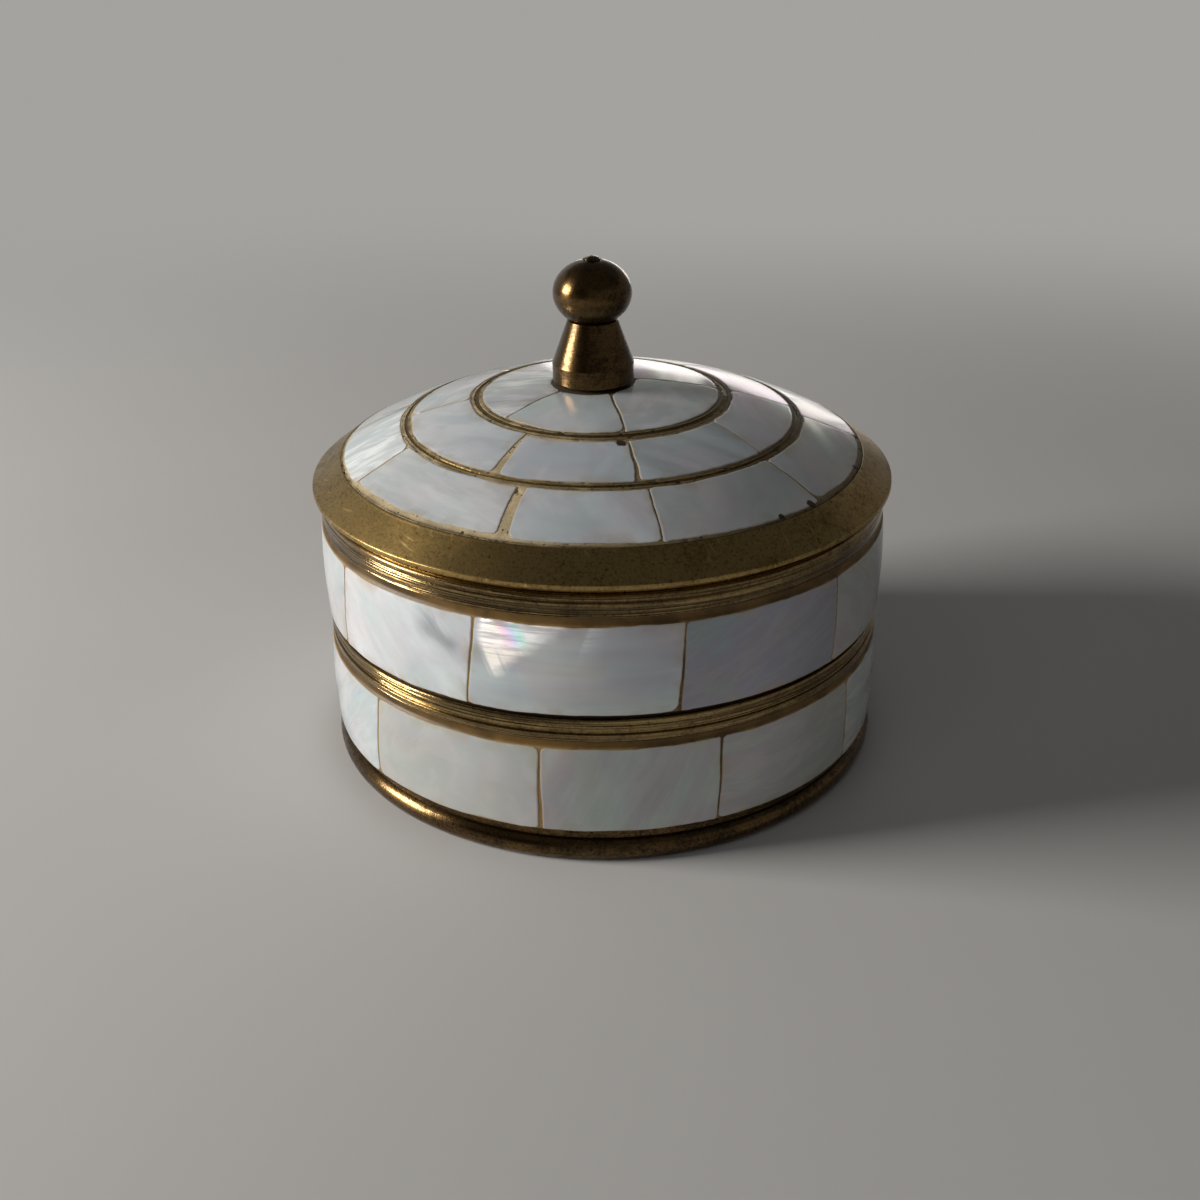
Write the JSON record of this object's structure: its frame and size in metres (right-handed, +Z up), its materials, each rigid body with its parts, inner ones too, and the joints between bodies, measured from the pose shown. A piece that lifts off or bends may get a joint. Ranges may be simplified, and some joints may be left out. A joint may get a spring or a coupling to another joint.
{
  "type": "mother of pearl box",
  "caption": "Round brass trinket box covered in mother of pearl tiles bedded in cement, with a lift-off domed lid and a turned finial knob. It holds small things.",
  "frame": {"origin": "on the axis of the box, at the plane that the foot stands on", "axes": "+Z up along the axis, towards the knob; -Y towards the front that the picture shows; +X to the right of that front"},
  "size_m": [0.08, 0.08, 0.0687],
  "materials": {
    "brass": "satin, turned",
    "dark_brass": "dark patina",
    "nacre": "satin gloss, iridescent",
    "amber_cement": "smooth",
    "sandy_cement": "matte, sandy"
  },
  "bodies": {
    "box": {"body_cup": "brass", "middle_band": "brass", "foot_ring": "dark_brass", "upper_cement": "amber_cement", "lower_cement": "amber_cement", "upper_tile_01": "nacre", "upper_tile_02": "nacre", "upper_tile_03": "nacre", "upper_tile_04": "nacre", "upper_tile_05": "nacre", "upper_tile_06": "nacre", "upper_tile_07": "nacre", "upper_tile_08": "nacre", "upper_tile_09": "nacre", "upper_tile_10": "nacre", "lower_tile_01": "nacre", "lower_tile_02": "nacre", "lower_tile_03": "nacre", "lower_tile_04": "nacre", "lower_tile_05": "nacre", "lower_tile_06": "nacre", "lower_tile_07": "nacre", "lower_tile_08": "nacre", "lower_tile_09": "nacre", "lower_tile_10": "nacre"},
    "lid": {"lid_dome": "brass", "lid_locating_ring": "brass", "outer_divider": "dark_brass", "inner_divider": "dark_brass", "outer_cement": "sandy_cement", "middle_cement": "sandy_cement", "inner_cement": "sandy_cement", "outer_tile_01": "nacre", "outer_tile_02": "nacre", "outer_tile_03": "nacre", "outer_tile_04": "nacre", "outer_tile_05": "nacre", "outer_tile_06": "nacre", "outer_tile_07": "nacre", "outer_tile_08": "nacre", "outer_tile_09": "nacre", "middle_tile_01": "nacre", "middle_tile_02": "nacre", "middle_tile_03": "nacre", "middle_tile_04": "nacre", "middle_tile_05": "nacre", "middle_tile_06": "nacre", "middle_tile_07": "nacre", "middle_tile_08": "nacre", "inner_tile_01": "nacre", "inner_tile_02": "nacre", "inner_tile_03": "nacre", "inner_tile_04": "nacre", "inner_tile_05": "nacre", "knob_foot": "dark_brass", "knob_ball": "dark_brass", "knob_rivet": "dark_brass", "rivet_washer": "brass"}
  },
  "joints": [
    {"name": "lid_lift", "type": "slide", "parent": "box", "child": "lid", "axis": [0, 0, 1], "range_m": [0, 0.06]}
  ]
}
